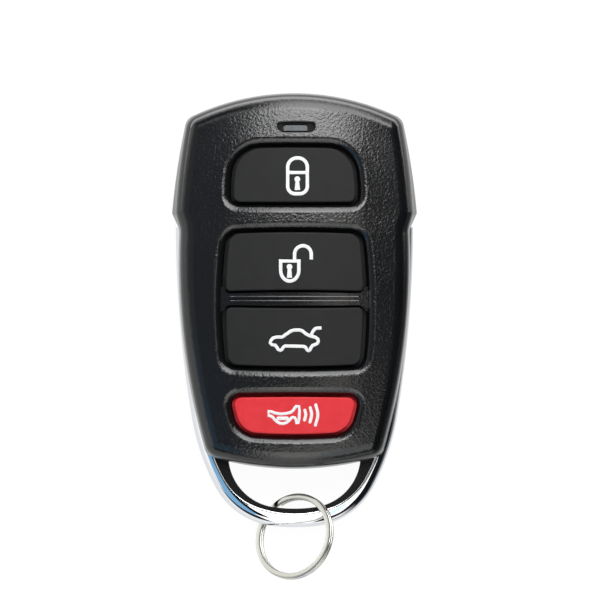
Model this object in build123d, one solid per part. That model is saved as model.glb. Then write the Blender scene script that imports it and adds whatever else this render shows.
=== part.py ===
from build123d import *
import math
import os

# Remote head car key: a keyless entry remote with four keys and a plated loop for its split ring.
# It lies on its back. Millimetres. +Z comes out of the key face and +Y points to the lamp end.
# The origin is the middle of the flat rear face.

# Case outline at the parting plane: heights along Y, and half widths from the centre line
case_top_y = 30.3
case_bottom_y = -30.3
top_corner_half = 17.4
shoulder_flare = 1.18
shoulder_edge_flare = 0.12
shoulder_y = 10.9
waist_half = 18.57
waist_y = 8.3
tail_half = 14.15
top_arc_radius = 38.7
upper_side_radius = 118.0
lower_side_radius = 108.6
bottom_arc_radius = 49.0
seam_rounds = (2.0, 2.5, 1.2, 2.2)
edge_rounds = (3.7, 8.0, 8.0, 3.7)
inner_rounds = (2.6, 8.0, 8.0, 2.8)

# Case section
parting_z = 6.0
crown_z = 13.6
crown_radius_x = 75.0
crown_radius_y = 260.0
front_draft = 0.5
rear_draft = 0.5
skin = 1.4
wall = 1.5
floor_thickness = 1.5
front_edge_radius = 2.8
rear_edge_radius = 2.2
tongue_rise = 1.5
tongue_wall = 1.0
tongue_gap = 0.12
seam_groove_depth = 0.2
seam_groove_height = 0.15
wide = 200.0

# Plated trim and the loop. Each outline is a chain of arcs that run on into each other, from its
# lowest point up: their radii, and the angles from straight down, in degrees, where each arc ends
trim_bottom_y = -39.76
trim_outer_radii = [32.7, 12.17, 37.2, 187.7]
trim_outer_angles = [5.7, 62.2, 80.5, 90.0]
trim_inner_y = -37.6
trim_inner_radii = [17.95, 10.27, 35.1, 185.6]
trim_inner_angles = [18.9, 62.2, 80.5, 90.0]
opening_bottom_y = -36.75
opening_radii = [23.4, 8.47, 100.0]
opening_angles = [8.5, 83.0, 90.0]
trim_end_y = 8.7
trim_low_z = 2.6
trim_high_z = 5.6
trim_round = 1.2
trim_gap = 0.05
loop_low_z = 2.9
loop_high_z = 5.3
loop_root_y = -24.0

# Keys: heights of the two level sides, half widths there, how far those sides bow out, and corner radii
keys = {
    "lock": dict(top=21.45, bottom=12.65, half_top=8.7, half_bottom=9.78, bow_top=0.2, bow_bottom=0.05,
                 round_top=4.5, round_bottom=1.1, side_bow=0.42),
    "unlock": dict(top=7.85, bottom=-1.45, half_top=10.42, half_bottom=11.08, bow_top=0.3, bow_bottom=-0.2,
                   round_top=1.9, round_bottom=0.8, side_bow=0.15),
    "trunk": dict(top=-4.35, bottom=-13.72, half_top=11.0, half_bottom=10.6, bow_top=-0.1, bow_bottom=0.3,
                  round_top=0.8, round_bottom=1.6, side_bow=0.15),
    "panic": dict(top=-18.65, bottom=-24.65, half_top=9.92, half_bottom=8.35, bow_top=0.15, bow_bottom=0.4,
                  round_top=1.1, round_bottom=3.5, side_bow=0.15),
}
key_gap = 0.4
key_sink = 0.15
key_edge_radius = 0.25
key_travel = 0.3
key_rest_gap = 0.15
key_flange_lip = 0.7
key_flange_thickness = 0.7
key_post_radius = 1.4
rim_radius = 1.3

# Bar with two ridges between the unlock and trunk keys
bar_end_lap = 0.3
bar_clearance = 0.3
bar_sink = 0.75
ridge_width = 0.42
ridge_height = 0.25
ridge_pitch = 0.68
ridge_length = 20.6

# Lamp slot and the lens that stands in it
slot_centre_x = 0.3
slot_bottom_y = 23.95
slot_half_width = 2.95
slot_height = 1.65
slot_floor_z = 11.5
slot_bow = 0.15
slot_round_top = 0.4
slot_round_bottom = 1.0
slot_rim = 0.2
lens_centre_x = 0.15
lens_half_width = 2.0
lens_height = 1.0
lens_round_top = 0.5
lens_round_bottom = 0.15
lens_edge_radius = 0.12
lens_gap = 0.12
lens_sink = 0.35
lens_flange = 0.5
lens_flange_z = 9.9
lens_flange_thickness = 0.6
lens_lamp_gap = 0.15

# Circuit board, its four switches and the keypad mat
board_z = 6.2
board_thickness = 1.0
board_gap = 0.45
board_tail_y = -24.9
panic_switch_y = -21.0
switch_size = 4.6
switch_height = 1.1
switch_wall = 0.4
switch_floor = 0.2
switch_lid = 0.2
switch_corner = 0.5
plunger_radius = 1.2
plunger_height = 1.55
plunger_gap = 0.05
collar_radius = 1.6
collar_height = 0.25
dome_radius = 1.7
dome_rise = 0.3
dome_thickness = 0.08
terminal_width = 0.7
terminal_reach = 0.6
terminal_spread = 2.6
terminal_thickness = 0.15
post_clearance = 0.02
mat_sheet_z = 8.55
mat_thickness = 0.45
mat_margin = 0.35
mat_edge_gap = 0.3
mat_skirt = 0.7
mat_hole_gap = 0.35

# Coin cell, its cup and its contacts
cell_y = -7.6
cell_z = 1.8
cell_radius = 10.0
cell_height = 3.2
cell_edge_radius = 0.35
cell_wall = 0.25
cell_cap_radius = 8.85
cell_cap_drop = 1.2
gasket_gap = 0.02
cup_gap = 0.35
cup_wall = 0.9
cup_height = 2.6
cup_slot = 8.0
cell_pad_radius = 9.0
contact_thickness = 0.2
contact_width = 3.2
contact_bend = 0.5
contact_touch = 0.02
negative_contact_length = 8.5
negative_contact_root = 3.0
negative_contact_foot = 2.0
negative_contact_tip = 1.5
negative_contact_rise = 0.5
clip_width = 6.0
clip_length = 3.4
clip_foot_z = 2.6

# Small parts under the board: centre X, centre Y, length, width and height
controller = (-4.6, 13.0, 5.0, 6.4, 1.4)
controller_leg_rows = 6
controller_leg_width = 0.3
controller_leg_reach = 0.8
controller_leg_thickness = 0.2
crystal = (5.6, 17.0, 5.0, 3.2, 1.0)
inductor_centre = (7.4, 8.4)
inductor_radius = 1.7
inductor_height = 1.6
inductor_waist = 0.5
capacitors = [(1.2, 8.4), (1.2, 10.6), (1.2, 12.8), (-9.9, 13.4)]
resistors = [(-10.2, 16.2), (-1.4, 18.6), (-4.2, 18.6), (-7.0, 18.6), (1.4, 20.8)]
chip_length = 1.6
chip_width = 0.8
chip_height = 0.5
antenna_width = 0.5
antenna_thickness = 0.08
antenna_inset = 0.3
antenna_end_y = -9.0
lamp_size = 1.4
lamp_height = 0.8

# Screw that holds the covers together, its bosses, and the posts that clamp the board
screw_y = -27.2
screw_radius = 0.8
screw_head_radius = 1.4
screw_head_height = 0.8
screw_length = 6.4
screw_sink = 0.35
screw_gap = 0.1
thread_gap = 0.02
driver_slot_width = 0.42
driver_slot_length = 1.7
driver_slot_depth = 0.45
boss_radius = 1.7
boss_gap = 0.15
post_radius = 1.1
post_gap = 0.05
post_places = [(11.4, 20.9), (12.6, 10.3), (9.2, -16.1)]
lug_width = 4.0
lug_y = 17.0
lug_height = 0.8
lug_reach = 0.35
lug_gap = 0.12

# Blank panel groove on the back, and the slot for prying the covers apart
panel_width = 21.0
panel_height = 27.0
panel_round = 3.0
panel_y = 2.0
groove_width = 0.35
groove_depth = 0.25
pry_width = 5.0
pry_height = 1.1
pry_depth = 0.9

# Split ring: two turns of flat wire, its place in the loop and its tilt
ring_outer_radius = 7.08
ring_wire_width = 1.0
ring_wire_thickness = 0.47
ring_turn_gap = 0.06
ring_wire_round = 0.12
ring_x = 0.04
ring_y = -41.25
ring_lift = 1.05
ring_long_axis = (0.42, 0.907, 0.0)
ring_tilt = 34.0
crossover_angle = 276.0
crossover_sweep = 28.0
crossover_steps = 4
ring_end_gap = 2.0

# Heights and places that follow from the sizes above
board_top_z = board_z + board_thickness
tongue_inset = wall + tongue_gap + front_draft * tongue_rise / (crown_z - parting_z)
cavity_inset = tongue_inset + tongue_wall
cell_top_z = cell_z + cell_height
plunger_top_z = board_top_z + plunger_height
mat_top_z = mat_sheet_z + mat_thickness
key_flange_z = mat_top_z + key_travel + key_rest_gap
flange_top_z = key_flange_z + key_flange_thickness
lens_bottom_y = slot_bottom_y + lens_gap
lens_centre_y = lens_bottom_y + lens_height / 2
widest_key = max(max(size["half_top"], size["half_bottom"]) for size in keys.values())
mat_half_width = widest_key + key_flange_lip + mat_margin
mat_top_y = keys["lock"]["top"] + key_flange_lip + mat_margin
loop_middle_z = (trim_low_z + trim_high_z) / 2


def arc_point(arcs, lowest_y, angle):
    # Point at an angle on a chain of tangent arcs that starts on the centre line
    x, y, start = 0.0, lowest_y, 0.0
    for radius, end in arcs:
        stop = min(angle, end)
        x += radius * (math.sin(math.radians(stop)) - math.sin(math.radians(start)))
        y += radius * (math.cos(math.radians(start)) - math.cos(math.radians(stop)))
        if angle <= end:
            break
        start = end
    return x, y


def facing_up(face):
    return face if face.normal_at().Z > 0 else -face


def hung_face(radii, angles, lowest_y, top_y, grow=0.0):
    # Face below a level line, bounded by a chain of arcs and its mirror image, moved outwards by the growth
    wider = [(radius + grow, end) for radius, end in zip(radii, angles)]
    edges = []
    start = 0.0
    for radius, end in wider:
        points = [arc_point(wider, lowest_y - grow, angle) for angle in (start, (start + end) / 2, end)]
        edges.append(ThreePointArc(*points))
        edges.append(ThreePointArc(*[(-x, y) for x, y in points]))
        start = end
    x, y = points[-1]
    reach = max(top_y, y) + 1.0
    edges.append(Line((x, y), (x, reach)))
    edges.append(Line((x, reach), (-x, reach)))
    edges.append(Line((-x, reach), (-x, y)))
    return facing_up((make_face(edges) & below(top_y)).faces()[0])


def bowed(start, end, bow):
    # Line, or an arc that stands off it by the bow. Outlines run anticlockwise, so a bow stands outwards
    if abs(bow) < 1e-6:
        return Line(start, end)
    return SagittaArc(start, end, -bow)


def bow_of(start, end, radius):
    # Rise of an arc of a given radius over its chord
    half = math.dist(start, end) / 2
    return radius - math.sqrt(radius ** 2 - half ** 2)


def rounded(face, corners):
    # Round the corners at the given points and at their mirror images
    for (x, y), radius in corners:
        chosen = [v for v in face.vertices() if abs(abs(v.X) - x) < 0.01 and abs(v.Y - y) < 0.01]
        face = face.fillet_2d(radius, chosen)
    return facing_up(face)


def case_face(inset, flare, rounds):
    # Outline of the case. The inset draws it in, and the flare is how far the shoulders stand out
    top_bow = bow_of((-top_corner_half, 0), (top_corner_half, 0), top_arc_radius)
    tail_bow = bow_of((-tail_half, 0), (tail_half, 0), bottom_arc_radius)
    corner = (top_corner_half - inset, case_top_y - top_bow - inset)
    shoulder = (waist_half - inset + flare, shoulder_y)
    waist = (waist_half - inset, waist_y)
    tail = (tail_half - inset, case_bottom_y + tail_bow + inset)
    right = [tail, waist, shoulder, corner]
    left = [(-x, y) for x, y in reversed(right)]
    upper = bow_of(corner, shoulder, upper_side_radius)
    lower = bow_of(waist, tail, lower_side_radius)
    bows = [lower, 0.0, upper, top_bow, upper, 0.0, lower, tail_bow]
    points = right + left + right[:1]
    edges = [bowed(points[i], points[i + 1], bows[i]) for i in range(len(bows))]
    return rounded(make_face(edges).faces()[0], list(zip(right, rounds)))


def pad_face(top, bottom, half_top, half_bottom, bow_top, bow_bottom, round_top, round_bottom,
             side_bow=0.0, grow=0.0):
    # Outline with two level sides, two leaning sides and four rounded corners, moved outwards by the growth
    top_right = (half_top + grow, top - bow_top + grow)
    bottom_right = (half_bottom + grow, bottom + bow_bottom - grow)
    bottom_left = (-bottom_right[0], bottom_right[1])
    top_left = (-top_right[0], top_right[1])
    edges = [bowed(bottom_left, bottom_right, bow_bottom), bowed(bottom_right, top_right, side_bow),
             bowed(top_right, top_left, bow_top), bowed(top_left, bottom_left, side_bow)]
    corners = [(top_right, round_top + grow), (bottom_right, round_bottom + grow)]
    return rounded(make_face(edges).faces()[0], corners)


def key_face(name, grow=0.0):
    return pad_face(grow=grow, **keys[name])


def slot_face():
    half = slot_half_width
    return Pos(slot_centre_x, 0) * pad_face(
        slot_bottom_y + slot_height, slot_bottom_y, half, half, slot_bow, 0.0, slot_round_top,
        slot_round_bottom)


def lens_face(grow=0.0):
    half = lens_half_width
    return Pos(lens_centre_x, 0) * pad_face(
        lens_bottom_y + lens_height, lens_bottom_y, half, half, 0.0, 0.0, lens_round_top,
        lens_round_bottom, grow=grow)


def inner_face(inset):
    # Outline of the case drawn in from the covers' outer wall
    return case_face(inset, shoulder_edge_flare, inner_rounds)


def board_outline(inset):
    # Outline of the board, cut off level at the tail and drawn in by the inset
    return (inner_face(cavity_inset + board_gap + inset) - below(board_tail_y + inset)).faces()[0]


def slab(face, low, high):
    return extrude(Pos(0, 0, low) * face, amount=high - low)


def crown(inset):
    # Everything below the crowned key face, lowered by the inset
    half_x = 1.3 * (waist_half + shoulder_flare)
    half_y = 1.3 * case_top_y
    poles = []
    for i in (-1, 0, 1):
        row = []
        for j in (-1, 0, 1):
            fall_x = (1 if i else -1) * half_x ** 2 / (2 * crown_radius_x)
            fall_y = (1 if j else -1) * half_y ** 2 / (2 * crown_radius_y)
            row.append((i * half_x, j * half_y, crown_z - inset - fall_x - fall_y))
        poles.append(row)
    return extrude(Face.make_bezier_surface(poles), amount=2 * crown_z, dir=(0, 0, -1))


def flared(low_face, low_z, high_face, high_z):
    # Solid between two outlines of the same make-up
    sections = [Pos(0, 0, low_z) * low_face, Pos(0, 0, high_z) * high_face]
    return Part() + Solid.make_loft([face.outer_wire() for face in sections], ruled=True)


def top_face(shape):
    # The largest of the faces that reach the highest level
    peak = shape.bounding_box().max.Z
    return shape.faces().filter_by(lambda f: f.bounding_box().max.Z > peak - 0.05).sort_by(lambda f: f.area)[-1]


def below(y):
    # Wide face below a level line
    return Pos(0, y - wide / 2) * Rectangle(wide, wide)


def half_width(face, y):
    # Half width of an outline at a height
    return (face & (Pos(0, y) * Rectangle(wide, 0.01))).bounding_box().max.X


def post(x, y, radius, low, high):
    return Pos(x, y, (low + high) / 2) * Cylinder(radius, high - low)


def block(x, y, low, length, width, height):
    # Box that stands on a level
    return Pos(x, y, low + height / 2) * Box(length, width, height)


def mirrored(shape):
    return shape + shape.mirror(Plane.YZ)


def strip(points, bend, width_axis, width, thickness):
    # Bent metal strip along a path
    path = FilletPolyline(*points, radius=bend)
    section = Plane(origin=path @ 0, x_dir=width_axis, z_dir=path % 0) * Rectangle(width, thickness)
    return sweep(section, path)


seam = case_face(0, shoulder_flare, seam_rounds)
front_edge = case_face(front_draft, shoulder_edge_flare, edge_rounds)
rear_edge = case_face(rear_draft, shoulder_edge_flare, edge_rounds)
trim_outer = hung_face(trim_outer_radii, trim_outer_angles, trim_bottom_y, trim_end_y)
trim_inner = hung_face(trim_inner_radii, trim_inner_angles, trim_inner_y, trim_end_y)
strip_outer = hung_face(trim_inner_radii, trim_inner_angles, trim_inner_y, trim_end_y, grow=-trim_gap)
opening = hung_face(opening_radii, opening_angles, opening_bottom_y, loop_root_y)
switch_places = {name: (size["top"] + size["bottom"]) / 2 for name, size in keys.items()}
switch_places["panic"] = panic_switch_y


def apertures():
    # One opening for the lock key, one for panic, and one that unlock and trunk share
    upper, lower = keys["unlock"], keys["trunk"]
    middle_half = upper["half_bottom"] + upper["side_bow"]
    mean_half = (upper["half_top"] + lower["half_bottom"]) / 2
    shared = pad_face(
        upper["top"], lower["bottom"], upper["half_top"], lower["half_bottom"], upper["bow_top"],
        lower["bow_bottom"], upper["round_top"], lower["round_bottom"], side_bow=middle_half - mean_half,
        grow=key_gap)
    return [key_face("lock", key_gap), shared, key_face("panic", key_gap)]


def inner_edges(face):
    return [edge for wire in face.inner_wires() for edge in wire.edges()]


def ridged_bar():
    # Bar across the shared opening, with the two keys' corners cut out of its ends
    high, low = keys["unlock"]["bottom"], keys["trunk"]["top"]
    middle = (high + low) / 2
    reach = keys["unlock"]["half_bottom"] + keys["unlock"]["side_bow"] + key_gap + bar_end_lap
    face = Pos(0, middle) * Rectangle(2 * reach, high - low + 1.0)
    for name in ("unlock", "trunk"):
        face -= key_face(name, key_gap)
    bottom = flange_top_z + bar_clearance
    bar = slab(face.faces().sort_by(lambda f: f.area)[-1], bottom, crown_z) & crown(bar_sink)
    for side in (-1, 1):
        line = Pos(0, middle + side * ridge_pitch / 2) * Rectangle(ridge_length, ridge_width)
        ridge = slab(line.faces()[0], bottom + 0.5, crown_z) & crown(bar_sink - ridge_height)
        bar += fillet(top_face(ridge).edges(), ridge_width * 0.4)
    return bar


def lug(side, clearance):
    # Catch on the rear cover's tongue, or the pocket in the front cover for it
    root = half_width(inner_face(0), lug_y) - tongue_inset - tongue_wall / 2
    reach = tongue_wall / 2 + tongue_gap + lug_reach + clearance
    middle_z = parting_z + tongue_rise - lug_height / 2
    return Pos(side * (root + reach / 2), lug_y, middle_z) * Box(
        reach, lug_width + 2 * clearance, lug_height + 2 * clearance)


def front_cover():
    shell = flared(seam, parting_z, front_edge, crown_z) & crown(0)
    for face in apertures():
        shell -= slab(face, parting_z, crown_z + 1)
    shell = fillet(inner_edges(top_face(shell)), rim_radius)
    shell = fillet(top_face(shell).outer_wire().edges(), front_edge_radius)
    shell -= slab(slot_face(), slot_floor_z, crown_z + 1)
    shell -= slab(lens_face(lens_gap), parting_z, crown_z)
    slot_edges = [e for e in inner_edges(top_face(shell)) if e.center().Y > slot_bottom_y - slot_rim]
    shell = fillet(slot_edges, slot_rim)
    cavity = flared(inner_face(wall), parting_z, inner_face(wall + front_draft), crown_z) & crown(skin)
    for x, y in post_places:
        cavity -= mirrored(post(x, y, post_radius, board_top_z + post_gap, crown_z))
    cavity -= post(0, screw_y, boss_radius, parting_z, crown_z)
    shell -= cavity
    shell += ridged_bar()
    screw_end = screw_sink + screw_head_height + screw_length
    shell -= post(0, screw_y, screw_radius + thread_gap, parting_z, screw_end + thread_gap)
    for side in (-1, 1):
        shell -= lug(side, lug_gap)
    return shell


def rear_cover():
    tray = flared(rear_edge, 0, seam, parting_z)
    tray = fillet(tray.faces().sort_by(Axis.Z)[0].edges(), rear_edge_radius)
    tray += slab(inner_face(tongue_inset), parting_z, parting_z + tongue_rise)
    channel = (below(trim_end_y + trim_gap) - strip_outer).faces()[0]
    tray -= slab(channel, trim_low_z - trim_gap, trim_high_z + trim_gap)
    groove = seam - case_face(seam_groove_depth, shoulder_flare, seam_rounds)
    tray -= slab(groove.faces()[0], parting_z - seam_groove_height, parting_z)
    tray -= slab(inner_face(cavity_inset), floor_thickness, crown_z)
    legs = (strip_outer & below(loop_root_y)) - opening - inner_face(cavity_inset)
    loop = slab(legs.faces().sort_by(lambda f: f.area)[-1], loop_low_z, loop_high_z)
    tray += loop
    for x, y in post_places:
        tray += mirrored(post(x, y, post_radius, floor_thickness / 2, board_z))
    cup = post(0, cell_y, cell_radius + cup_gap + cup_wall, floor_thickness / 2, floor_thickness + cup_height)
    cup -= post(0, cell_y, cell_radius + cup_gap, floor_thickness / 2, crown_z)
    cup -= block(cell_radius, cell_y, floor_thickness, cell_radius, cup_slot, cup_height)
    tray += cup
    tray += post(0, cell_y, cell_pad_radius, floor_thickness / 2, cell_z)
    tray += post(0, screw_y, boss_radius, floor_thickness / 2, parting_z)
    tray -= post(0, screw_y, boss_radius + boss_gap, parting_z, crown_z)
    tray -= post(0, screw_y, screw_radius + screw_gap, 0, parting_z)
    tray -= post(0, screw_y, screw_head_radius + screw_gap, 0, screw_sink + screw_head_height)
    for side in (-1, 1):
        tray += lug(side, 0)
    panel = Pos(0, panel_y) * RectangleRounded(panel_width, panel_height, panel_round)
    panel -= Pos(0, panel_y) * RectangleRounded(
        panel_width - 2 * groove_width, panel_height - 2 * groove_width, panel_round - groove_width)
    tray -= slab(panel.faces()[0], 0, groove_depth)
    tray -= block(0, case_bottom_y, parting_z - pry_height, pry_width, 2 * pry_depth, pry_height)
    return tray


def chrome_trim():
    # Plated band round the lower case that runs on as the key ring loop
    band = slab((trim_outer - trim_inner).faces()[0], trim_low_z, trim_high_z)
    rim = [e for e in band.edges() if on_outline(e, trim_outer) and e.bounding_box().size.Z < 0.01
           and e.center().Y < trim_end_y - 0.01]
    return fillet(rim, trim_round)


def on_outline(edge, face):
    # Whether an edge, dropped to the ground plane, lies on the outline of a face
    middle = edge.position_at(0.5)
    return face.outer_wire().distance_to(Vertex(middle.X, middle.Y, 0)) < 0.01


def key(name):
    cap = slab(key_face(name), key_flange_z, crown_z + 1) & crown(key_sink)
    cap = fillet(top_face(cap).edges(), key_edge_radius)
    cap += slab(key_face(name, key_flange_lip), key_flange_z, flange_top_z)
    cap += post(0, switch_places[name], key_post_radius, plunger_top_z + post_clearance, key_flange_z)
    return cap


def mat_outline(inset):
    middle_y = (mat_top_y + board_tail_y) / 2
    sheet = Pos(0, middle_y) * Rectangle(2 * (mat_half_width - inset), mat_top_y - board_tail_y - 2 * inset)
    return (sheet & board_outline(mat_edge_gap + inset)).faces()[0]


def keypad_mat():
    # Soft sheet under the keys with a skirt that stands on the board
    mat = slab(mat_outline(0), board_top_z, mat_top_z)
    mat -= slab(mat_outline(mat_skirt), board_top_z, mat_sheet_z)
    for x, y in post_places:
        mat -= mirrored(post(x, y, post_radius + mat_hole_gap, board_top_z, crown_z))
    for y in switch_places.values():
        mat -= post(0, y, key_post_radius + mat_hole_gap, mat_sheet_z, crown_z)
    return mat


def led_lens():
    body = slab(lens_face(), board_top_z + lamp_height + lens_lamp_gap, crown_z) & crown(lens_sink)
    body = fillet(top_face(body).edges(), lens_edge_radius)
    flange = slab(lens_face(lens_flange), lens_flange_z, lens_flange_z + lens_flange_thickness)
    return body + flange


def led_lamp():
    lamp = block(lens_centre_x, lens_centre_y, board_top_z, lamp_size, lamp_size, lamp_height)
    return chamfer(lamp.faces().sort_by(Axis.Z)[-1].edges(), lamp_height / 4)


def circuit_board():
    board = slab(board_outline(0), board_z, board_top_z)
    board -= post(0, screw_y, boss_radius + boss_gap, board_z, board_top_z)
    return board


def switch_housing(y):
    low, high = board_top_z, board_top_z + switch_height
    shell = slab(RectangleRounded(switch_size, switch_size, switch_corner).faces()[0], low, high)
    room = switch_size - 2 * switch_wall
    shell -= slab(RectangleRounded(room, room, switch_corner / 2).faces()[0], low + switch_floor, high - switch_lid)
    shell -= post(0, 0, plunger_radius + plunger_gap, low + switch_floor, high)
    return Pos(0, y) * shell


def switch_plunger(y):
    collar_top = board_top_z + switch_height - switch_lid
    stem = post(0, y, plunger_radius, collar_top - collar_height, plunger_top_z)
    return stem + post(0, y, collar_radius, collar_top - collar_height, collar_top - plunger_gap)


def switch_dome(y):
    # Thin sprung disc, domed towards the plunger
    low = board_top_z + switch_floor
    ball = (dome_radius ** 2 + dome_rise ** 2) / (2 * dome_rise)
    cap = Pos(0, y, low + dome_rise - ball) * Sphere(ball)
    cap -= Pos(0, y, low + dome_rise - ball) * Sphere(ball - dome_thickness)
    return cap & post(0, y, dome_radius, low, low + dome_rise)


def switch_terminals():
    tabs = Part()
    for y in switch_places.values():
        for step in (-0.5, 0.5):
            tab = block(switch_size / 2 + terminal_reach / 2, y + step * terminal_spread, board_top_z,
                        terminal_reach, terminal_width, terminal_thickness)
            tabs += mirrored(tab)
    return tabs


def cell_can():
    # Positive can of the coin cell, with its rolled rim open towards the board
    can = post(0, cell_y, cell_radius, cell_z, cell_top_z)
    can = fillet(can.faces().sort_by(Axis.Z)[0].edges(), cell_edge_radius)
    can -= post(0, cell_y, cell_radius - cell_wall, cell_z + cell_wall, cell_top_z)
    return can


def cell_cap():
    # Negative cap and the cell's filling under it
    low = cell_z + cell_wall + gasket_gap
    inner = cell_radius - cell_wall - gasket_gap
    filling = post(0, cell_y, inner, low, cell_top_z - cell_cap_drop)
    cap = post(0, cell_y, cell_cap_radius, low, cell_top_z + gasket_gap)
    cap = fillet(cap.faces().sort_by(Axis.Z)[-1].edges(), cell_edge_radius)
    return filling + cap


def cell_gasket():
    low = cell_top_z - cell_cap_drop + gasket_gap
    ring = post(0, cell_y, cell_radius - cell_wall - gasket_gap, low, cell_top_z - gasket_gap)
    return ring - post(0, cell_y, cell_cap_radius + gasket_gap, low, cell_top_z)


def negative_contact():
    # Leaf that hangs from the board and bears on the middle of the cap
    root_z = board_z - contact_thickness / 2
    touch_z = cell_top_z + gasket_gap + contact_touch + contact_thickness / 2
    start = cell_y + negative_contact_length
    foot = negative_contact_foot / 2
    points = [(0, start, root_z), (0, start - negative_contact_root, root_z), (0, cell_y + foot, touch_z),
              (0, cell_y - foot, touch_z),
              (0, cell_y - foot - negative_contact_tip, touch_z + negative_contact_rise)]
    return strip(points, contact_bend, (1, 0, 0), contact_width, contact_thickness)


def positive_contact():
    # Clip that hangs from the board beside the cell's can
    root_z = board_z - contact_thickness / 2
    side_x = cell_radius + contact_touch + contact_thickness / 2
    points = [(side_x + clip_length, cell_y, root_z), (side_x, cell_y, root_z), (side_x, cell_y, clip_foot_z)]
    return strip(points, contact_bend, (0, 1, 0), clip_width, contact_thickness)


def under_board(x, y, length, width, height):
    return block(x, y, board_z - height, length, width, height)


def controller_chip():
    body = under_board(*controller)
    return chamfer(body.faces().sort_by(Axis.Z)[0].edges(), controller[4] * 0.15)


def controller_legs():
    x, y, length, width, _ = controller
    legs = Part()
    pitch = width / (controller_leg_rows + 1)
    for i in range(controller_leg_rows):
        leg_y = y + (i - (controller_leg_rows - 1) / 2) * pitch
        for side in (-1, 1):
            legs += under_board(x + side * (length + controller_leg_reach) / 2, leg_y, controller_leg_reach,
                                controller_leg_width, controller_leg_thickness)
    return legs


def crystal_can():
    can = under_board(*crystal)
    return fillet(can.faces().sort_by(Axis.Z)[0].edges(), crystal[4] * 0.3)


def inductor():
    x, y = inductor_centre
    low = board_z - inductor_height
    third = inductor_height / 3
    drum = post(x, y, inductor_radius, low, board_z)
    waist = post(x, y, inductor_radius, low + third, board_z - third)
    waist -= post(x, y, inductor_radius - inductor_waist, low, board_z)
    return drum - waist


def chips(places):
    group = Part()
    for x, y in places:
        group += under_board(x, y, chip_length, chip_width, chip_height)
    return group


def antenna():
    # Copper track round the edge of the board, open at the tail end
    track = board_outline(antenna_inset) - board_outline(antenna_inset + antenna_width)
    track -= below(antenna_end_y)
    return slab(track.faces().sort_by(lambda f: f.area)[-1], board_top_z, board_top_z + antenna_thickness)


def case_screw():
    head_top = screw_sink + screw_head_height
    screw = post(0, screw_y, screw_radius, head_top, head_top + screw_length)
    screw = chamfer(screw.faces().sort_by(Axis.Z)[-1].edges(), screw_radius / 2)
    head = post(0, screw_y, screw_head_radius, screw_sink, head_top)
    head = fillet(head.faces().sort_by(Axis.Z)[0].edges(), screw_head_height * 0.4)
    for turn in (0, 90):
        slot = Box(driver_slot_length, driver_slot_width, 2 * driver_slot_depth)
        head -= Pos(0, screw_y, screw_sink) * Rot(0, 0, turn) * slot
    return screw + head


def split_ring():
    # Two flat turns, joined by a short crossing where the wire steps from one to the other
    step = (ring_wire_thickness + ring_turn_gap) / 2
    mean_radius = ring_outer_radius - ring_wire_width / 2
    section = RectangleRounded(ring_wire_width, ring_wire_thickness, ring_wire_round)

    def placed(angle, height):
        return Pos(0, 0, height) * Rot(0, 0, angle) * (Plane.XZ * Pos(mean_radius, 0) * section)

    crossing_end = crossover_angle + crossover_sweep
    arc = 360 - crossover_sweep - ring_end_gap
    lower = revolve(placed(crossing_end, -step), Axis.Z, arc)
    upper = revolve(placed(crossover_angle - arc, step), Axis.Z, arc)
    sections = []
    for i in range(crossover_steps + 1):
        share = i / crossover_steps
        rise = step * math.cos(math.pi * share)
        sections.append(placed(crossover_angle + share * crossover_sweep, rise).faces()[0])
    ring = lower + upper + loft(sections, ruled=True)
    return ring


def placed_ring(shape):
    tilt = math.radians(ring_tilt)
    long_axis = Vector(*ring_long_axis).normalized()
    across = Vector(long_axis.Y, -long_axis.X, 0) * math.cos(tilt) + Vector(0, 0, 1) * math.sin(tilt)
    frame = Plane(origin=(ring_x, ring_y, loop_middle_z + ring_lift), x_dir=long_axis,
                  z_dir=long_axis.cross(across))
    return frame.location * shape


nodes = {
    "front_cover": front_cover(),
    "rear_cover": rear_cover(),
    "chrome_trim": chrome_trim(),
    "keypad_mat": keypad_mat(),
    "led_lens": led_lens(),
    "led_lamp": led_lamp(),
    "circuit_board": circuit_board(),
    "switch_terminals": switch_terminals(),
    "cell_can": cell_can(),
    "cell_cap": cell_cap(),
    "cell_gasket": cell_gasket(),
    "negative_contact": negative_contact(),
    "positive_contact": positive_contact(),
    "controller_chip": controller_chip(),
    "controller_legs": controller_legs(),
    "crystal_can": crystal_can(),
    "inductor": inductor(),
    "chip_capacitors": chips(capacitors),
    "chip_resistors": chips(resistors),
    "antenna_track": antenna(),
    "case_screw": case_screw(),
    "split_ring": placed_ring(split_ring()),
}
for name in keys:
    nodes[name + "_key"] = key(name)
    nodes[name + "_switch"] = switch_housing(switch_places[name])
    nodes[name + "_plunger"] = switch_plunger(switch_places[name])
    nodes[name + "_dome"] = switch_dome(switch_places[name])

os.makedirs("parts", exist_ok=True)
for name, shape in nodes.items():
    export_step(shape, "parts/" + name + ".step")
    print(name, round(shape.volume, 3))
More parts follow.
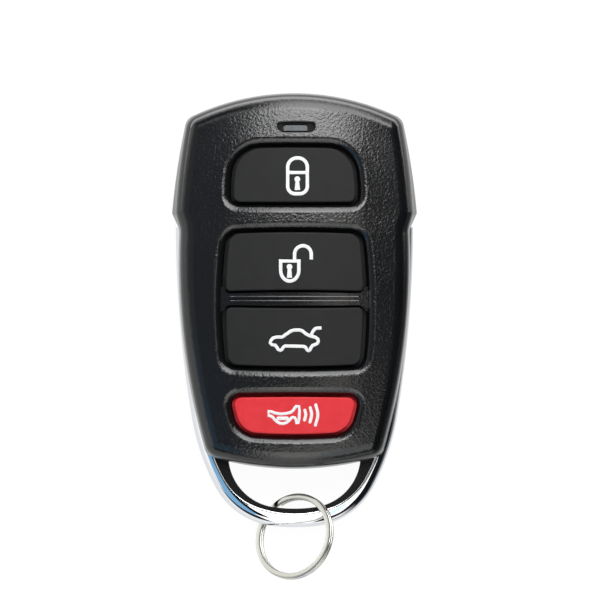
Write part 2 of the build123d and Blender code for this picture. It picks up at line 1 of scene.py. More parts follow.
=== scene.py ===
import bpy
import math
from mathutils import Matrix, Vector


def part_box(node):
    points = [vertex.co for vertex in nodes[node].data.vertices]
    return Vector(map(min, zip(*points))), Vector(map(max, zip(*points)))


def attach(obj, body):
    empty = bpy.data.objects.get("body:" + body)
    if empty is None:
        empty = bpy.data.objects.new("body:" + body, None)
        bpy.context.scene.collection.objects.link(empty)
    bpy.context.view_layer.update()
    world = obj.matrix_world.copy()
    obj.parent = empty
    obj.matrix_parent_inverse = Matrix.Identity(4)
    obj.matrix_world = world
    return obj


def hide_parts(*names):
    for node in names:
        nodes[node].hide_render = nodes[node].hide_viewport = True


# Remote head car key on its back, seen square on. Metres, in the frame of the case.
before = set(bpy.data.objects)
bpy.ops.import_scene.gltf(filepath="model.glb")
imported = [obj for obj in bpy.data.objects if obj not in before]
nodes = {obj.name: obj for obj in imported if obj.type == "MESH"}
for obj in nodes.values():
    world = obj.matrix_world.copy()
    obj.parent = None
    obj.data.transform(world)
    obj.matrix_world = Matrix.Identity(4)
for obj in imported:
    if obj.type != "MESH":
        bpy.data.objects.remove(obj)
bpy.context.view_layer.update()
mm = 0.001
print("frame loaded:", len(nodes), "nodes")


def linear(hexCode):
    # sRGB hex to the linear colour that the shaders take
    parts = [int(hexCode[i:i + 2], 16) / 255 for i in (1, 3, 5)]
    return tuple(p / 12.92 if p <= 0.04045 else ((p + 0.055) / 1.055) ** 2.4 for p in parts) + (1.0,)


def addNode(tree, kind, settings=None, inputs=None):
    # One node with its settings, its values and its links
    node = tree.nodes.new(kind)
    for name, value in (settings or {}).items():
        setattr(node, name, value)
    for name, value in (inputs or {}).items():
        if isinstance(value, bpy.types.NodeSocket):
            tree.links.new(value, node.inputs[name])
        else:
            node.inputs[name].default_value = value
    return node


def startMaterial(name):
    material = bpy.data.materials.new(name)
    material.use_nodes = True
    material.node_tree.nodes.clear()
    return material, material.node_tree


def finishMaterial(tree, shader):
    output = addNode(tree, "ShaderNodeOutputMaterial")
    tree.links.new(shader.outputs[0], output.inputs["Surface"])


def inMillimetres(tree):
    # Object coordinates counted in millimetres, so that a noise scale is grains per millimetre
    place = addNode(tree, "ShaderNodeTexCoord")
    return addNode(tree, "ShaderNodeVectorMath", {"operation": "SCALE"},
                   {0: place.outputs["Object"], "Scale": 1 / mm}).outputs[0]


def setRamp(node, stops):
    # Colour ramp stops as (place, hex)
    ramp = node.color_ramp
    while len(ramp.elements) < len(stops):
        ramp.elements.new(0.5)
    for element, (place, hexCode) in zip(ramp.elements, stops):
        element.position = place
        element.color = linear(hexCode)


# Materials

def sparkedPlastic():
    # Moulded ABS from a spark eroded tool: fine leathery grain that breaks up every highlight.
    # The grain runs out on the steep walls and on the ridged bar, where the tool is polished
    grain = {"perMillimetre": 2.4, "relief": 0.036 * mm, "wallTop": 11.6, "wallFoot": 10.2,
             "barY": -2.83, "barHalf": 1.35, "barEnd": 11.3, "gloss": 0.2, "slotGloss": 0.85,
             "slotCentre": (0.3, 24.8, 11.6), "slotReach": (0.32, 1.0, 1.0)}
    material, tree = startMaterial("sparkedAbs")
    place = inMillimetres(tree)
    axes = addNode(tree, "ShaderNodeSeparateXYZ", None, {"Vector": place})
    wrinkle = addNode(tree, "ShaderNodeTexNoise", {"noise_dimensions": "3D"},
                      {"Vector": place, "Scale": grain["perMillimetre"], "Detail": 1.0, "Roughness": 0.5,
                       "Distortion": 0.5})
    onTop = addNode(tree, "ShaderNodeMapRange", None,
                    {"Value": axes.outputs["Z"], "From Min": grain["wallFoot"], "From Max": grain["wallTop"],
                     "To Min": 0.15, "To Max": 1.0})
    fromBar = addNode(tree, "ShaderNodeMath", {"operation": "SUBTRACT"},
                      {0: axes.outputs["Y"], 1: grain["barY"]})
    offBar = addNode(tree, "ShaderNodeMath", {"operation": "ABSOLUTE"}, {0: fromBar.outputs[0]})
    across = addNode(tree, "ShaderNodeMath", {"operation": "ABSOLUTE"}, {0: axes.outputs["X"]})
    besideBar = addNode(tree, "ShaderNodeMapRange", None,
                        {"Value": offBar.outputs[0], "From Min": grain["barHalf"] - 0.1,
                         "From Max": grain["barHalf"] + 0.1, "To Min": 0.7, "To Max": 1.0})
    beyondBar = addNode(tree, "ShaderNodeMapRange", None,
                        {"Value": across.outputs[0], "From Min": grain["barEnd"] - 0.1,
                         "From Max": grain["barEnd"] + 0.1, "To Min": 0.0, "To Max": 1.0})
    clearOfBar = addNode(tree, "ShaderNodeMath", {"operation": "MAXIMUM"},
                         {0: besideBar.outputs[0], 1: beyondBar.outputs[0]})
    depth = addNode(tree, "ShaderNodeMath", {"operation": "MULTIPLY"},
                    {0: onTop.outputs[0], 1: clearOfBar.outputs[0]})
    tone = addNode(tree, "ShaderNodeTexNoise", None, {"Vector": place, "Scale": 0.12, "Detail": 2.0})
    colour = addNode(tree, "ShaderNodeValToRGB", None, {"Fac": tone.outputs["Fac"]})
    setRamp(colour, [(0.3, "#0C0D0F"), (0.7, "#101113")])
    bump = addNode(tree, "ShaderNodeBump", None,
                   {"Height": wrinkle.outputs["Fac"], "Distance": grain["relief"],
                    "Strength": depth.outputs[0]})
    fromSlot = addNode(tree, "ShaderNodeVectorMath", {"operation": "SUBTRACT"},
                       {0: place, 1: grain["slotCentre"]})
    slotShare = addNode(tree, "ShaderNodeVectorMath", {"operation": "MULTIPLY"},
                        {0: fromSlot.outputs[0], 1: grain["slotReach"]})
    slotReach = addNode(tree, "ShaderNodeVectorMath", {"operation": "LENGTH"}, {0: slotShare.outputs[0]})
    gloss = addNode(tree, "ShaderNodeMapRange", None,
                    {"Value": slotReach.outputs["Value"], "From Min": 1.0, "From Max": 1.1,
                     "To Min": grain["slotGloss"], "To Max": grain["gloss"]})
    shader = addNode(tree, "ShaderNodeBsdfPrincipled", None,
                     {"Base Color": colour.outputs["Color"], "Roughness": gloss.outputs[0], "IOR": 1.6,
                      "Normal": bump.outputs["Normal"]})
    finishMaterial(tree, shader)
    return material


def siliconeRubber(name, darkHex, lightHex, roughness):
    # Moulded silicone with a soft touch coat: matte, with a faint powdery unevenness
    material, tree = startMaterial(name)
    place = inMillimetres(tree)
    powder = addNode(tree, "ShaderNodeTexNoise", None,
                     {"Vector": place, "Scale": 5.0, "Detail": 3.0, "Roughness": 0.7})
    cloud = addNode(tree, "ShaderNodeTexNoise", None, {"Vector": place, "Scale": 0.5, "Detail": 2.0})
    colour = addNode(tree, "ShaderNodeValToRGB", None, {"Fac": cloud.outputs["Fac"]})
    setRamp(colour, [(0.3, darkHex), (0.7, lightHex)])
    bump = addNode(tree, "ShaderNodeBump", None,
                   {"Height": powder.outputs["Fac"], "Distance": 0.02 * mm, "Strength": 0.35})
    shader = addNode(tree, "ShaderNodeBsdfPrincipled", None,
                     {"Base Color": colour.outputs["Color"], "Roughness": roughness, "IOR": 1.35,
                      "Normal": bump.outputs["Normal"]})
    finishMaterial(tree, shader)
    return material


def padPrint():
    # White pad printing ink: opaque and slightly uneven
    material, tree = startMaterial("whiteInk")
    place = inMillimetres(tree)
    patch = addNode(tree, "ShaderNodeTexNoise", None, {"Vector": place, "Scale": 2.5, "Detail": 2.0})
    colour = addNode(tree, "ShaderNodeValToRGB", None, {"Fac": patch.outputs["Fac"]})
    setRamp(colour, [(0.35, "#E2E2E2"), (0.65, "#ECECEC")])
    shader = addNode(tree, "ShaderNodeBsdfPrincipled", None,
                     {"Base Color": colour.outputs["Color"], "Roughness": 0.55, "IOR": 1.45})
    finishMaterial(tree, shader)
    return material


def platedChrome():
    # Decorative chrome plate: mirror bright, with the faint waviness of the moulding under it
    material, tree = startMaterial("chromePlate")
    place = inMillimetres(tree)
    wave = addNode(tree, "ShaderNodeTexNoise", None, {"Vector": place, "Scale": 0.35, "Detail": 1.0})
    bump = addNode(tree, "ShaderNodeBump", None,
                   {"Height": wave.outputs["Fac"], "Distance": 0.05 * mm, "Strength": 0.03})
    shader = addNode(tree, "ShaderNodeBsdfPrincipled", None,
                     {"Base Color": linear("#EDEFF2"), "Metallic": 1.0, "Roughness": 0.04,
                      "Normal": bump.outputs["Normal"]})
    finishMaterial(tree, shader)
    return material


def metal(name, hexCode, roughness, drawLines=0.0):
    # Plain metal with fine drawing lines that spread its highlights
    material, tree = startMaterial(name)
    place = inMillimetres(tree)
    stretched = addNode(tree, "ShaderNodeMapping", None, {"Vector": place, "Scale": (1.0, 1.0, 8.0)})
    lines = addNode(tree, "ShaderNodeTexNoise", None,
                    {"Vector": stretched.outputs["Vector"], "Scale": 0.6, "Detail": 2.0})
    bump = addNode(tree, "ShaderNodeBump", None,
                   {"Height": lines.outputs["Fac"], "Distance": 0.01 * mm, "Strength": drawLines})
    shader = addNode(tree, "ShaderNodeBsdfPrincipled", None,
                     {"Base Color": linear(hexCode), "Metallic": 1.0, "Roughness": roughness,
                      "Normal": bump.outputs["Normal"]})
    finishMaterial(tree, shader)
    return material


def plastic(name, darkHex, lightHex, roughness):
    # Moulded plastic or lacquer with a slight mottle
    material, tree = startMaterial(name)
    place = inMillimetres(tree)
    mottle = addNode(tree, "ShaderNodeTexNoise", None, {"Vector": place, "Scale": 1.5, "Detail": 3.0})
    colour = addNode(tree, "ShaderNodeValToRGB", None, {"Fac": mottle.outputs["Fac"]})
    setRamp(colour, [(0.3, darkHex), (0.7, lightHex)])
    shader = addNode(tree, "ShaderNodeBsdfPrincipled", None,
                     {"Base Color": colour.outputs["Color"], "Roughness": roughness, "IOR": 1.5})
    finishMaterial(tree, shader)
    return material


caseAbs = sparkedPlastic()
charcoalRubber = siliconeRubber("charcoalSilicone", "#181818", "#1B1B1B", 0.6)
redRubber = siliconeRubber("redSilicone", "#D32B33", "#D9333B", 0.55)
ink = padPrint()
chrome = platedChrome()
ringSteel = metal("nickelPlatedSteel", "#DAD9D2", 0.1, 0.04)
springSteel = metal("springSteel", "#BDBBB5", 0.3, 0.5)
tinned = metal("tinnedBrass", "#C9C9C5", 0.35, 0.3)
blackSteel = metal("blackOxideSteel", "#3A3A3C", 0.4, 0.3)
copper = metal("copperFoil", "#B87544", 0.35, 0.2)
lensPlastic = plastic("smokedAcrylic", "#43474A", "#4D5154", 0.35)
lampResin = plastic("clearEpoxy", "#E6E6E2", "#F2F2EE", 0.15)
matRubber = plastic("blackSilicone", "#151515", "#1B1B1B", 0.6)
laminate = plastic("solderMask", "#0F4A2A", "#145A33", 0.35)
blackPlastic = plastic("glassFilledNylon", "#17171A", "#1F1F22", 0.5)
paleNylon = plastic("paleNylon", "#C9C4B4", "#D4CFC0", 0.45)
ceramic = plastic("chipCeramic", "#8A7456", "#9C8766", 0.5)
gasketNylon = plastic("gasketNylon", "#4A4A4C", "#57575A", 0.5)

finishes = {
    "front_cover": caseAbs, "rear_cover": caseAbs, "chrome_trim": chrome, "keypad_mat": matRubber,
    "led_lens": lensPlastic, "led_lamp": lampResin, "circuit_board": laminate, "switch_terminals": tinned,
    "cell_can": springSteel, "cell_cap": springSteel, "cell_gasket": gasketNylon,
    "negative_contact": springSteel, "positive_contact": springSteel, "controller_chip": blackPlastic,
    "controller_legs": tinned, "crystal_can": springSteel, "inductor": blackPlastic,
    "chip_capacitors": ceramic, "chip_resistors": blackPlastic, "antenna_track": copper,
    "case_screw": blackSteel, "split_ring": ringSteel,
}
for key in ("lock", "unlock", "trunk", "panic"):
    finishes[key + "_key"] = redRubber if key == "panic" else charcoalRubber
    finishes[key + "_switch"] = blackPlastic
    finishes[key + "_plunger"] = paleNylon
    finishes[key + "_dome"] = springSteel
for name, node in nodes.items():
    node.data.materials.clear()
    node.data.materials.append(finishes[name])
print("materials on", len(finishes), "nodes")


# Plated band. Each outline is a chain of arcs from the foot of the loop: radii, and where each arc ends

bandShape = {
    "outerFoot": -39.76, "outerRadii": (32.7, 12.17, 37.2, 187.7), "outerEnds": (5.7, 62.2, 80.5, 90.0),
    "innerFoot": -37.6, "innerRadii": (17.95, 10.27, 35.1, 185.6), "innerEnds": (18.9, 62.2, 80.5, 90.0),
    "endTurn": 89.89, "low": 2.62, "high": 5.58, "innerTilt": 6.0, "outerTilt": 58.0, "shoulder": 0.97,
    "fall": 1.25, "steps": 132,
}


def deselectAll():
    if bpy.context.object and bpy.context.object.mode != "OBJECT":
        bpy.ops.object.mode_set(mode="OBJECT")
    bpy.ops.object.select_all(action="DESELECT")


def choose(piece):
    deselectAll()
    piece.select_set(True)
    bpy.context.view_layer.objects.active = piece


def smooth(piece, degrees):
    choose(piece)
    bpy.ops.object.shade_smooth_by_angle(angle=math.radians(degrees))


def applied(piece):
    # Leave the piece's place in its mesh, with its object at the origin
    choose(piece)
    bpy.ops.object.transform_apply(location=True, rotation=True, scale=True)
    return piece


def chainPoint(radii, ends, foot, angle):
    # Point of a chain of arcs where it has turned through an angle
    x, y, start = 0.0, foot, 0.0
    for radius, end in zip(radii, ends):
        stop = min(angle, end)
        x += radius * (math.sin(math.radians(stop)) - math.sin(math.radians(start)))
        y += radius * (math.cos(math.radians(start)) - math.cos(math.radians(stop)))
        if angle <= end:
            break
        start = end
    return x, y


def onInner(point):
    # Nearest point of the inner outline, found by halving the turn that faces it
    s = bandShape
    low, high = 0.0, 90.0
    for halving in range(40):
        turn = (low + high) / 2
        x, y = chainPoint(s["innerRadii"], s["innerEnds"], s["innerFoot"], turn)
        along = (point[0] - x) * math.cos(math.radians(turn)) + (point[1] - y) * math.sin(math.radians(turn))
        low, high = (turn, high) if along > 0 else (low, turn)
    return x, y


def bandSection():
    # Section as (share from inner to outer edge, height): it leans outwards from a crisp inner edge,
    # more and more, and turns down at its shoulder
    s = bandShape
    first, last = math.radians(s["innerTilt"]), math.radians(s["outerTilt"])
    points = [(0.05, s["low"]), (0.0, s["low"] + 0.1), (0.0, s["high"] - 0.02)]
    for i in range(15):
        tilt = first + (last - first) * i / 14
        share = (math.sin(tilt) - math.sin(first)) / (math.sin(last) - math.sin(first))
        drop = (math.cos(first) - math.cos(tilt)) / (math.cos(first) - math.cos(last))
        points.append((0.03 + (s["shoulder"] - 0.03) * share, s["high"] - s["fall"] * drop))
    shoulderZ = s["high"] - s["fall"]
    points += [(0.992, shoulderZ - 0.09), (1.0, shoulderZ - 0.3), (1.0, s["low"] + 0.5),
               (0.96, s["low"] + 0.15), (0.88, s["low"])]
    return points


def sweptTube(name, count, steps, place):
    # A circle is extruded step by step into a tube, and each of its points then goes to its place
    deselectAll()
    bpy.ops.mesh.primitive_circle_add(vertices=count, radius=mm, fill_type="NOTHING")
    tube = bpy.context.object
    tube.name = name
    bpy.ops.object.mode_set(mode="EDIT")
    for i in range(steps):
        bpy.ops.mesh.extrude_region_move(TRANSFORM_OT_translate={"value": (0, 0, mm)})
    bpy.ops.object.mode_set(mode="OBJECT")
    for point in tube.data.vertices:
        step = round(point.co.z / mm)
        around = round(math.atan2(point.co.y, point.co.x) / (2 * math.pi) * count) % count
        point.co = place(step, around)
    choose(tube)
    bpy.ops.object.mode_set(mode="EDIT")
    bpy.ops.mesh.select_all(action="SELECT")
    bpy.ops.mesh.fill_holes(sides=0)
    bpy.ops.mesh.select_all(action="SELECT")
    bpy.ops.mesh.normals_make_consistent(inside=False)
    bpy.ops.object.mode_set(mode="OBJECT")
    return tube


def makeBand():
    s = bandShape
    stations = []
    for i in range(s["steps"] + 1):
        # Small steps round the tight bend, long ones up the straight flank
        share = i / s["steps"]
        turn = 66 * share / 0.72 if share < 0.72 else 66 + (s["endTurn"] - 66) * (share - 0.72) / 0.28
        outer = chainPoint(s["outerRadii"], s["outerEnds"], s["outerFoot"], turn)
        stations.append((outer, onInner(outer)))
    section = bandSection()
    path = [(-1, *stations[i]) for i in range(s["steps"], 0, -1)] + [(1, *station) for station in stations]

    def place(step, around):
        side, outer, inner = path[step]
        share, height = section[around]
        x, y = (inner[k] + (outer[k] - inner[k]) * share for k in (0, 1))
        return Vector((side * x, y, height)) * mm

    band = sweptTube("platedBand", len(section), len(path) - 1, place)
    band.data.materials.append(chrome)
    smooth(band, 50)
    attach(band, "case")
    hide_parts("chrome_trim")
    return band


band = makeBand()
print("plated band", len(band.data.polygons), "faces")


# Split ring: two turns of flat wire and the step between them, in millimetres

ringShape = {
    "outerRadius": 7.08, "wireWidth": 1.0, "wireThickness": 0.47, "turnGap": 0.06, "wireRound": 0.13,
    "place": (0.04, -41.25, 5.15), "longAxis": (0.42, 0.907, 0.0), "tilt": 34.0,
    "crossing": 276.0, "crossingSweep": 28.0, "endGap": 2.0, "stepDegrees": 3.0,
}


def ringPath():
    # Middle of the wire from one end to the other: lower turn, crossing, upper turn
    s = ringShape
    step = (s["wireThickness"] + s["turnGap"]) / 2
    arc = 360 - s["crossingSweep"] - s["endGap"]
    start = s["crossing"] - arc
    total = 2 * arc + s["crossingSweep"]
    steps = round(total / s["stepDegrees"])
    path = []
    for i in range(steps + 1):
        turned = total * i / steps
        share = min(max((turned - arc) / s["crossingSweep"], 0), 1)
        path.append((start + turned, step * math.cos(math.pi * share)))
    return path


def wireSection():
    # Rounded oblong across the wire
    s = ringShape
    halfWide, halfThick, r = s["wireWidth"] / 2, s["wireThickness"] / 2, s["wireRound"]
    points = []
    for signX, signY, start in ((1, 1, 0), (-1, 1, 90), (-1, -1, 180), (1, -1, 270)):
        for i in range(5):
            turn = math.radians(start + 22.5 * i)
            points.append((signX * (halfWide - r) + r * math.cos(turn),
                           signY * (halfThick - r) + r * math.sin(turn)))
    return points


def makeRing():
    s = ringShape
    section, path = wireSection(), ringPath()
    middle = s["outerRadius"] - s["wireWidth"] / 2
    tilt = math.radians(s["tilt"])
    longAxis = Vector(s["longAxis"]).normalized()
    across = Vector((longAxis.y, -longAxis.x, 0)) * math.cos(tilt) + Vector((0, 0, 1)) * math.sin(tilt)
    upAxis = longAxis.cross(across)
    sideAxis = upAxis.cross(longAxis)

    def place(step, around):
        angle, height = path[step]
        out, up = section[around]
        turn, radius = math.radians(angle), middle + out
        return (longAxis * radius * math.cos(turn) + sideAxis * radius * math.sin(turn)
                + upAxis * (height + up) + Vector(s["place"])) * mm

    ring = sweptTube("ringWire", len(section), len(path) - 1, place)
    ring.data.materials.append(ringSteel)
    smooth(ring, 50)
    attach(ring, "key_ring")
    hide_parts("split_ring")
    return ring


ring = makeRing()
print("split ring", len(ring.data.polygons), "faces")


# Symbols on the keys. Places and widths in millimetres from the middle of the case

symbolStroke = 0.56
symbolRise = 0.05
lockSymbol = {"centre": (0.49, 16.9), "halfWidth": 1.58, "top": 19.78, "bottom": 14.02, "topRound": 1.5,
              "bottomRound": 1.2, "bar": 17.44, "hole": (0.46, 16.37), "holeRadius": 0.46,
              "stemBottom": 14.62, "stemHalf": (0.24, 0.46)}
unlockSymbol = {"left": -2.22, "right": 0.7, "top": 3.2, "shoulder": 1.7, "bottom": -0.02,
                "shackleCentre": (1.36, 4.32), "shackleRadius": 1.34, "shackleEnd": 3.45,
                "hole": (-0.8, 2.27), "holeRadius": 0.46, "stemBottom": 0.5, "stemHalf": (0.27, 0.42)}
trunkSymbol = {
    "stroke": 0.53,
    "body": [(-1.98, -9.02), (-1.17, -8.45), (-0.63, -8.07), (-0.1, -7.9), (0.82, -7.88), (1.28, -8.04),
             (1.82, -8.48), (2.29, -8.75), (2.84, -8.92), (3.38, -9.06), (3.76, -9.34), (3.85, -9.67),
             (3.66, -10.06), (3.24, -10.25), (2.9, -10.36), (2.67, -10.69), (2.48, -11.09), (2.28, -11.24),
             (2.04, -11.09), (1.79, -10.69), (1.5, -10.52), (-0.08, -10.48), (-1.55, -10.46), (-1.83, -10.69),
             (-2.0, -11.03), (-2.32, -11.16), (-2.63, -10.99), (-2.86, -10.62), (-3.07, -10.33),
             (-3.62, -10.24), (-3.9, -9.94), (-3.77, -9.53), (-3.4, -9.16), (-2.86, -9.02)],
    "lid": [(2.67, -8.75), (2.97, -8.11), (3.13, -7.88), (3.31, -7.7), (3.5, -7.6), (3.72, -7.57),
            (4.35, -7.56)],
}
hornSymbol = {
    "stroke": 0.47,
    "body": [(-4.18, -20.92), (-3.65, -21.04), (-3.07, -21.26), (-2.18, -21.39), (-1.42, -21.33),
             (-0.65, -21.15), (-0.2, -20.83), (0.1, -20.36), (0.3, -20.15), (0.74, -20.18), (0.8, -21.1),
             (0.75, -22.06), (0.62, -22.83), (0.32, -22.85), (0.25, -22.32), (0.05, -22.0), (-0.27, -21.91),
             (-0.55, -22.06), (-0.84, -22.44), (-1.29, -22.79), (-1.8, -22.94), (-2.37, -22.88),
             (-2.82, -22.63), (-3.27, -22.19), (-3.52, -21.87), (-3.93, -21.68), (-4.16, -21.66)],
    "valves": [(-2.6, -22.1), (-1.2, -22.1)],
    "waves": [[(1.68, -20.79), (1.81, -21.55), (1.62, -22.36)],
              [(2.54, -20.4), (2.76, -21.42), (2.5, -22.68)],
              [(3.43, -19.93), (3.75, -21.55), (3.37, -23.19)]],
}


def strokeCurve(points, width, closed=False, handles="VECTOR", dots=(0, -1)):
    # Line of ink through points in millimetres, flattened to the height of the print.
    # Its ends are square where no dot of ink rounds them
    deselectAll()
    bpy.ops.curve.primitive_bezier_curve_add(location=(0, 0, 0))
    line = bpy.context.object
    line.data.splines.clear()
    spline = line.data.splines.new("BEZIER")
    spline.bezier_points.add(len(points) - 1)
    for point, (x, y) in zip(spline.bezier_points, points):
        point.co = (x * mm, y * mm, 0)
        point.handle_left_type = handles
        point.handle_right_type = handles
    spline.use_cyclic_u = closed
    line.data.resolution_u = 6
    line.data.bevel_depth = width * mm / 2
    line.data.bevel_resolution = 3
    line.data.use_fill_caps = True
    bpy.ops.object.convert(target="MESH")
    line = bpy.context.object
    line.scale.z = symbolRise / width * 2
    applied(line)
    pieces = [line]
    if not closed:
        pieces += [inkDot(points[end], width / 2) for end in dots]
    return pieces


def inkDot(place, radius):
    # Round end of a line of ink
    deselectAll()
    bpy.ops.mesh.primitive_uv_sphere_add(segments=24, ring_count=12, radius=radius * mm,
                                         location=(place[0] * mm, place[1] * mm, 0))
    dot = bpy.context.object
    dot.scale.z = symbolRise / radius
    return applied(dot)


def arcPoints(centre, radius, start, end, steps):
    # Points round an arc, in degrees
    turns = [math.radians(start + (end - start) * i / steps) for i in range(steps + 1)]
    return [(centre[0] + radius * math.cos(a), centre[1] + radius * math.sin(a)) for a in turns]


def keyhole(hole, radius, stemBottom, stemHalf):
    # Round hole with a stem that widens downwards
    dot = inkDot(hole, radius)
    deselectAll()
    middleY = (hole[1] + stemBottom) / 2
    bpy.ops.mesh.primitive_cube_add(size=1, location=(hole[0] * mm, middleY * mm, 0))
    stem = bpy.context.object
    stem.scale = (2 * stemHalf[1] * mm, (hole[1] - stemBottom) * mm, 2 * symbolRise * mm)
    applied(stem)
    for corner in stem.data.vertices:
        if corner.co.y > middleY * mm:
            corner.co.x = hole[0] * mm + (corner.co.x - hole[0] * mm) * stemHalf[0] / stemHalf[1]
    roundEdges = stem.modifiers.new("round", "BEVEL")
    roundEdges.width = 0.045 * mm
    roundEdges.segments = 2
    choose(stem)
    bpy.ops.object.modifier_apply(modifier="round")
    return [dot, stem]


def joined(pieces, name):
    deselectAll()
    for piece in pieces:
        piece.select_set(True)
    bpy.context.view_layer.objects.active = pieces[0]
    bpy.ops.object.join()
    whole = bpy.context.object
    whole.name = name
    return whole


def layOnKey(symbol, keyNode, body):
    # Drop the flat symbol on the crowned key, point by point
    key = nodes[keyNode]
    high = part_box(keyNode)[1].z + mm
    for point in symbol.data.vertices:
        hit, place, normal, index = key.ray_cast(Vector((point.co.x, point.co.y, high)), Vector((0, 0, -1)))
        if hit:
            point.co.z += place.z
    symbol.data.materials.clear()
    symbol.data.materials.append(ink)
    smooth(symbol, 40)
    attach(symbol, body)
    return symbol


def makeLockSymbol():
    s = lockSymbol
    x, half = s["centre"][0], s["halfWidth"]
    top, bottom, high, low = s["top"], s["bottom"], s["topRound"], s["bottomRound"]
    outline = (arcPoints((x + half - high, top - high), high, 0, 90, 12)
               + arcPoints((x - half + high, top - high), high, 90, 180, 12)
               + arcPoints((x - half + low, bottom + low), low, 180, 270, 12)
               + arcPoints((x + half - low, bottom + low), low, 270, 360, 12))
    pieces = strokeCurve(outline, symbolStroke, closed=True)
    pieces += strokeCurve([(x - half, s["bar"]), (x + half, s["bar"])], symbolStroke)
    pieces += keyhole(s["hole"], s["holeRadius"], s["stemBottom"], s["stemHalf"])
    return layOnKey(joined(pieces, "lockSymbol"), "lock_key", "lock_button")


def makeUnlockSymbol():
    s = unlockSymbol
    middle, half = (s["left"] + s["right"]) / 2, (s["right"] - s["left"]) / 2
    depth = s["shoulder"] - s["bottom"]
    bowl = [(middle + half * math.cos(a), s["shoulder"] + depth * math.sin(a))
            for a in (math.radians(180 + 9 * i) for i in range(21))]
    pieces = strokeCurve([(s["left"], s["top"])] + bowl + [(s["right"], s["top"])], symbolStroke)
    lap = symbolStroke / 2
    pieces += strokeCurve([(s["left"] - lap, s["top"]), (s["right"] + lap, s["top"])], symbolStroke, dots=())
    centre, radius = s["shackleCentre"], s["shackleRadius"]
    shackle = ([(centre[0] - radius, s["top"])] + arcPoints(centre, radius, 180, 0, 24)
               + [(centre[0] + radius, s["shackleEnd"])])
    pieces += strokeCurve(shackle, symbolStroke, dots=(0,))
    pieces += keyhole(s["hole"], s["holeRadius"], s["stemBottom"], s["stemHalf"])
    return layOnKey(joined(pieces, "unlockSymbol"), "unlock_key", "unlock_button")


def makeTrunkSymbol():
    s = trunkSymbol
    pieces = strokeCurve(s["body"], s["stroke"], closed=True)
    pieces += strokeCurve(s["lid"], s["stroke"], dots=(0,))
    return layOnKey(joined(pieces, "trunkSymbol"), "trunk_key", "trunk_button")


def makeHornSymbol():
    s = hornSymbol
    pieces = strokeCurve(s["body"], s["stroke"], closed=True)
    pieces += strokeCurve(s["valves"], 0.6)
    for wave in s["waves"]:
        pieces += strokeCurve(wave, s["stroke"] + 0.02, handles="AUTO")
    return layOnKey(joined(pieces, "hornSymbol"), "panic_key", "panic_button")


for symbol in (makeLockSymbol(), makeUnlockSymbol(), makeTrunkSymbol(), makeHornSymbol()):
    print("symbol", symbol.name, len(symbol.data.polygons), "faces")


# Camera, table and light

studio = {
    "cameraHeight": 2.0, "viewCentre": (0.89, -3.06), "viewWidth": 96.8, "seamHeight": 6.0,
    "tableSize": 6.0, "tableDrop": 0.02, "panelHeight": 1.0, "clipEnd": 20.0, "sensorWidth": 36.0,
    # Each soft box: left, right, near and far edge at the panels' height in metres, brightness and colour
    "panels": {
        "headSoftbox": (-0.16, 0.28, 0.18, 0.55, 7.8, "#FFFFFF"),
        "headLeft": (-0.75, -0.21, 0.56, 1.10, 1.0, "#FFFFFF"),
        "headRight": (-0.20, 0.95, 0.56, 1.10, 5.2, "#FFFFFF"),
        "headFar": (-0.25, 1.00, 1.11, 2.00, 4.8, "#FFFFFF"),
        "headWall": (-0.50, 1.60, 2.01, 6.00, 2.7, "#FFFFFF"),
        "tailStrip": (-0.18, 0.32, -0.40, -0.26, 2.1, "#FFFDF8"),
        "tailSoftbox": (-0.22, 0.19, -1.20, -0.41, 2.3, "#FFFDF8"),
        "tailPale": (0.20, 0.38, -1.20, -0.41, 1.6, "#C4DCEC"),
        "tailWall": (-0.50, 0.38, -4.00, -1.21, 1.3, "#FFFDF8"),
        "sideStrip": (0.14, 0.25, -0.25, 0.17, 1.7, "#FFF8F0"),
        "navyWall": (-0.60, -0.21, -0.25, 0.55, 0.9, "#5E646E"),
        "blueWall": (-1.80, -0.40, -1.60, -0.26, 1.0, "#7FB2D8"),
        "tailRight": (0.39, 0.80, -1.60, -0.32, 1.5, "#FFFDF8"),
        "whiteWall": (-4.00, -1.81, -1.60, -0.26, 0.93, "#FFFFFF"),
        "greyWall": (-1.80, -0.61, -0.25, 1.20, 0.28, "#FFFFFF"),
        "paleWall": (-4.00, -1.81, -0.25, 0.65, 0.5, "#FFFFFF"),
        "ringWall": (-4.00, -1.81, 0.66, 1.70, 1.0, "#FFFFFC"),
    },
}


def makeCamera():
    data = bpy.data.cameras.new("camera")
    camera = bpy.data.objects.new("camera", data)
    bpy.context.scene.collection.objects.link(camera)
    x, y = studio["viewCentre"]
    camera.location = (x * mm, y * mm, studio["cameraHeight"] + studio["seamHeight"] * mm)
    data.sensor_width = studio["sensorWidth"]
    data.lens = data.sensor_width * studio["cameraHeight"] / (studio["viewWidth"] * mm)
    data.clip_end = studio["clipEnd"]
    bpy.context.scene.camera = camera


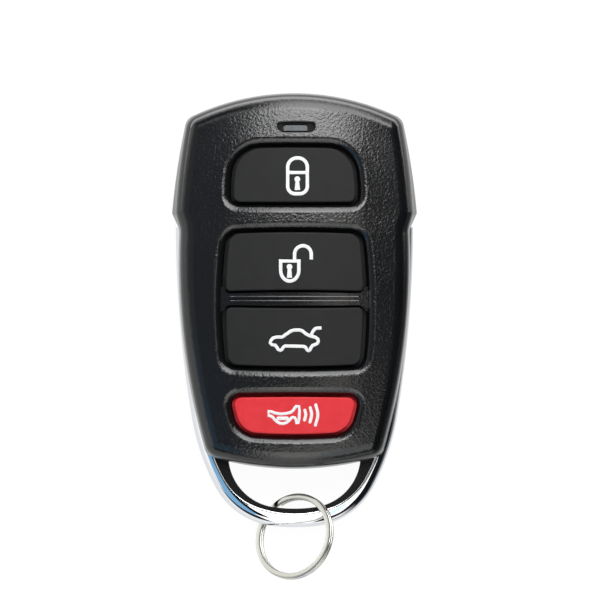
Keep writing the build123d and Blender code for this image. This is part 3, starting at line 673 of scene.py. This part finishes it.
def makeTable():
    # White table that fades into the white room, and keeps a soft shadow. In glossy reflections only, it
    # carries a painted glare behind the head, far brighter than the white the camera sees, and a painted dark
    # patch on the right in place of a black flag.
    # Brightness first, then where each change starts and ends, in metres
    glow = {"seen": 1.05, "mirrored": 0.85, "paintedGlare": 5.0, "paintedShade": 0.05, "share": 0.9,
            "paintedGlareFrom": 0.044, "paintedGlareFull": 0.056, "paintedShadeFrom": 0.023, "paintedShadeFull": 0.034,
            "paintedShadeTop": 0.014, "paintedShadeFoot": 0.009}
    deselectAll()
    bpy.ops.mesh.primitive_plane_add(size=studio["tableSize"], location=(0, 0, -studio["tableDrop"] * mm))
    table = bpy.context.object
    table.name = "table"
    material, tree = startMaterial("whiteTable")
    matte = addNode(tree, "ShaderNodeBsdfDiffuse", None, {"Color": linear("#F4F4F4")})
    ray = addNode(tree, "ShaderNodeLightPath")
    place = addNode(tree, "ShaderNodeTexCoord")
    axes = addNode(tree, "ShaderNodeSeparateXYZ", None, {"Vector": place.outputs["Object"]})
    # Painted glare: glossy rays see the table glow far brighter than white behind the head
    paintedGlare = addNode(tree, "ShaderNodeMapRange", None,
                    {"Value": axes.outputs["Y"], "From Min": glow["paintedGlareFrom"],
                     "From Max": glow["paintedGlareFull"], "To Min": glow["mirrored"], "To Max": glow["paintedGlare"]})
    # Painted shade: a dark patch on the right, seen only in glossy reflections, in place of a black flag
    toRight = addNode(tree, "ShaderNodeMapRange", None,
                      {"Value": axes.outputs["X"], "From Min": glow["paintedShadeFrom"],
                       "From Max": glow["paintedShadeFull"]})
    below = addNode(tree, "ShaderNodeMapRange", None,
                    {"Value": axes.outputs["Y"], "From Min": glow["paintedShadeTop"],
                     "From Max": glow["paintedShadeFoot"]})
    paintedShadeMask = addNode(tree, "ShaderNodeMath", {"operation": "MULTIPLY"},
                   {0: toRight.outputs[0], 1: below.outputs[0]})
    mirrored = addNode(tree, "ShaderNodeMix", {"data_type": "FLOAT"},
                       {0: paintedShadeMask.outputs[0], 2: paintedGlare.outputs[0], 3: glow["paintedShade"]})
    strength = addNode(tree, "ShaderNodeMix", {"data_type": "FLOAT"},
                       {0: ray.outputs["Is Camera Ray"], 2: mirrored.outputs[0], 3: glow["seen"]})
    shine = addNode(tree, "ShaderNodeEmission", None,
                    {"Color": linear("#FFFFFF"), "Strength": strength.outputs[0]})
    seen = addNode(tree, "ShaderNodeMath", {"operation": "MAXIMUM"},
                   {0: ray.outputs["Is Camera Ray"], 1: ray.outputs["Is Glossy Ray"]})
    share = addNode(tree, "ShaderNodeMath", {"operation": "MULTIPLY"},
                    {0: seen.outputs[0], 1: glow["share"]})
    mix = addNode(tree, "ShaderNodeMixShader", None,
                  {0: share.outputs[0], 1: matte.outputs[0], 2: shine.outputs[0]})
    finishMaterial(tree, mix)
    table.data.materials.append(material)


def makeRoom():
    # White round the horizon and dark overhead, as in a light tent with the camera's hole at the top.
    # The tent stands open on the right
    world = bpy.data.worlds.new("room")
    bpy.context.scene.world = world
    world.use_nodes = True
    tree = world.node_tree
    tree.nodes.clear()
    direction = addNode(tree, "ShaderNodeTexCoord")
    axes = addNode(tree, "ShaderNodeSeparateXYZ", None, {"Vector": direction.outputs["Generated"]})
    shade = addNode(tree, "ShaderNodeValToRGB", None, {"Fac": axes.outputs["Z"]})
    setRamp(shade, [(0.0, "#FFFFFF"), (0.2, "#FFFFFF"), (0.3, "#1E2226"), (0.7, "#15181C")])
    openSide = addNode(tree, "ShaderNodeMapRange", None,
                       {"Value": axes.outputs["X"], "From Min": 0.45, "From Max": 0.65})
    walls = addNode(tree, "ShaderNodeMix", {"data_type": "RGBA"},
                    {0: openSide.outputs[0], 6: shade.outputs["Color"], 7: linear("#15181C")})
    ray = addNode(tree, "ShaderNodeLightPath")
    colour = addNode(tree, "ShaderNodeMix", {"data_type": "RGBA"},
                     {0: ray.outputs["Is Camera Ray"], 6: walls.outputs[2], 7: linear("#FFFFFF")})
    room = addNode(tree, "ShaderNodeBackground", None, {"Color": colour.outputs[2], "Strength": 1.0})
    output = addNode(tree, "ShaderNodeOutputWorld")
    tree.links.new(room.outputs[0], output.inputs["Surface"])


def makePanel(name, left, right, near, far, brightness, hexCode):
    # Level soft box that faces the table. A lamp's power is its brightness times its area and pi
    data = bpy.data.lights.new(name, "AREA")
    data.shape = "RECTANGLE"
    data.size, data.size_y = right - left, far - near
    data.energy = brightness * math.pi * data.size * data.size_y
    data.color = linear(hexCode)[:3]
    light = bpy.data.objects.new(name, data)
    bpy.context.scene.collection.objects.link(light)
    light.location = ((left + right) / 2, (near + far) / 2, studio["panelHeight"])


makeCamera()
makeTable()
makeRoom()
for panelName, panel in studio["panels"].items():
    makePanel(panelName, *panel)
bpy.context.scene.view_settings.view_transform = "Standard"
print("camera, table and lights set")
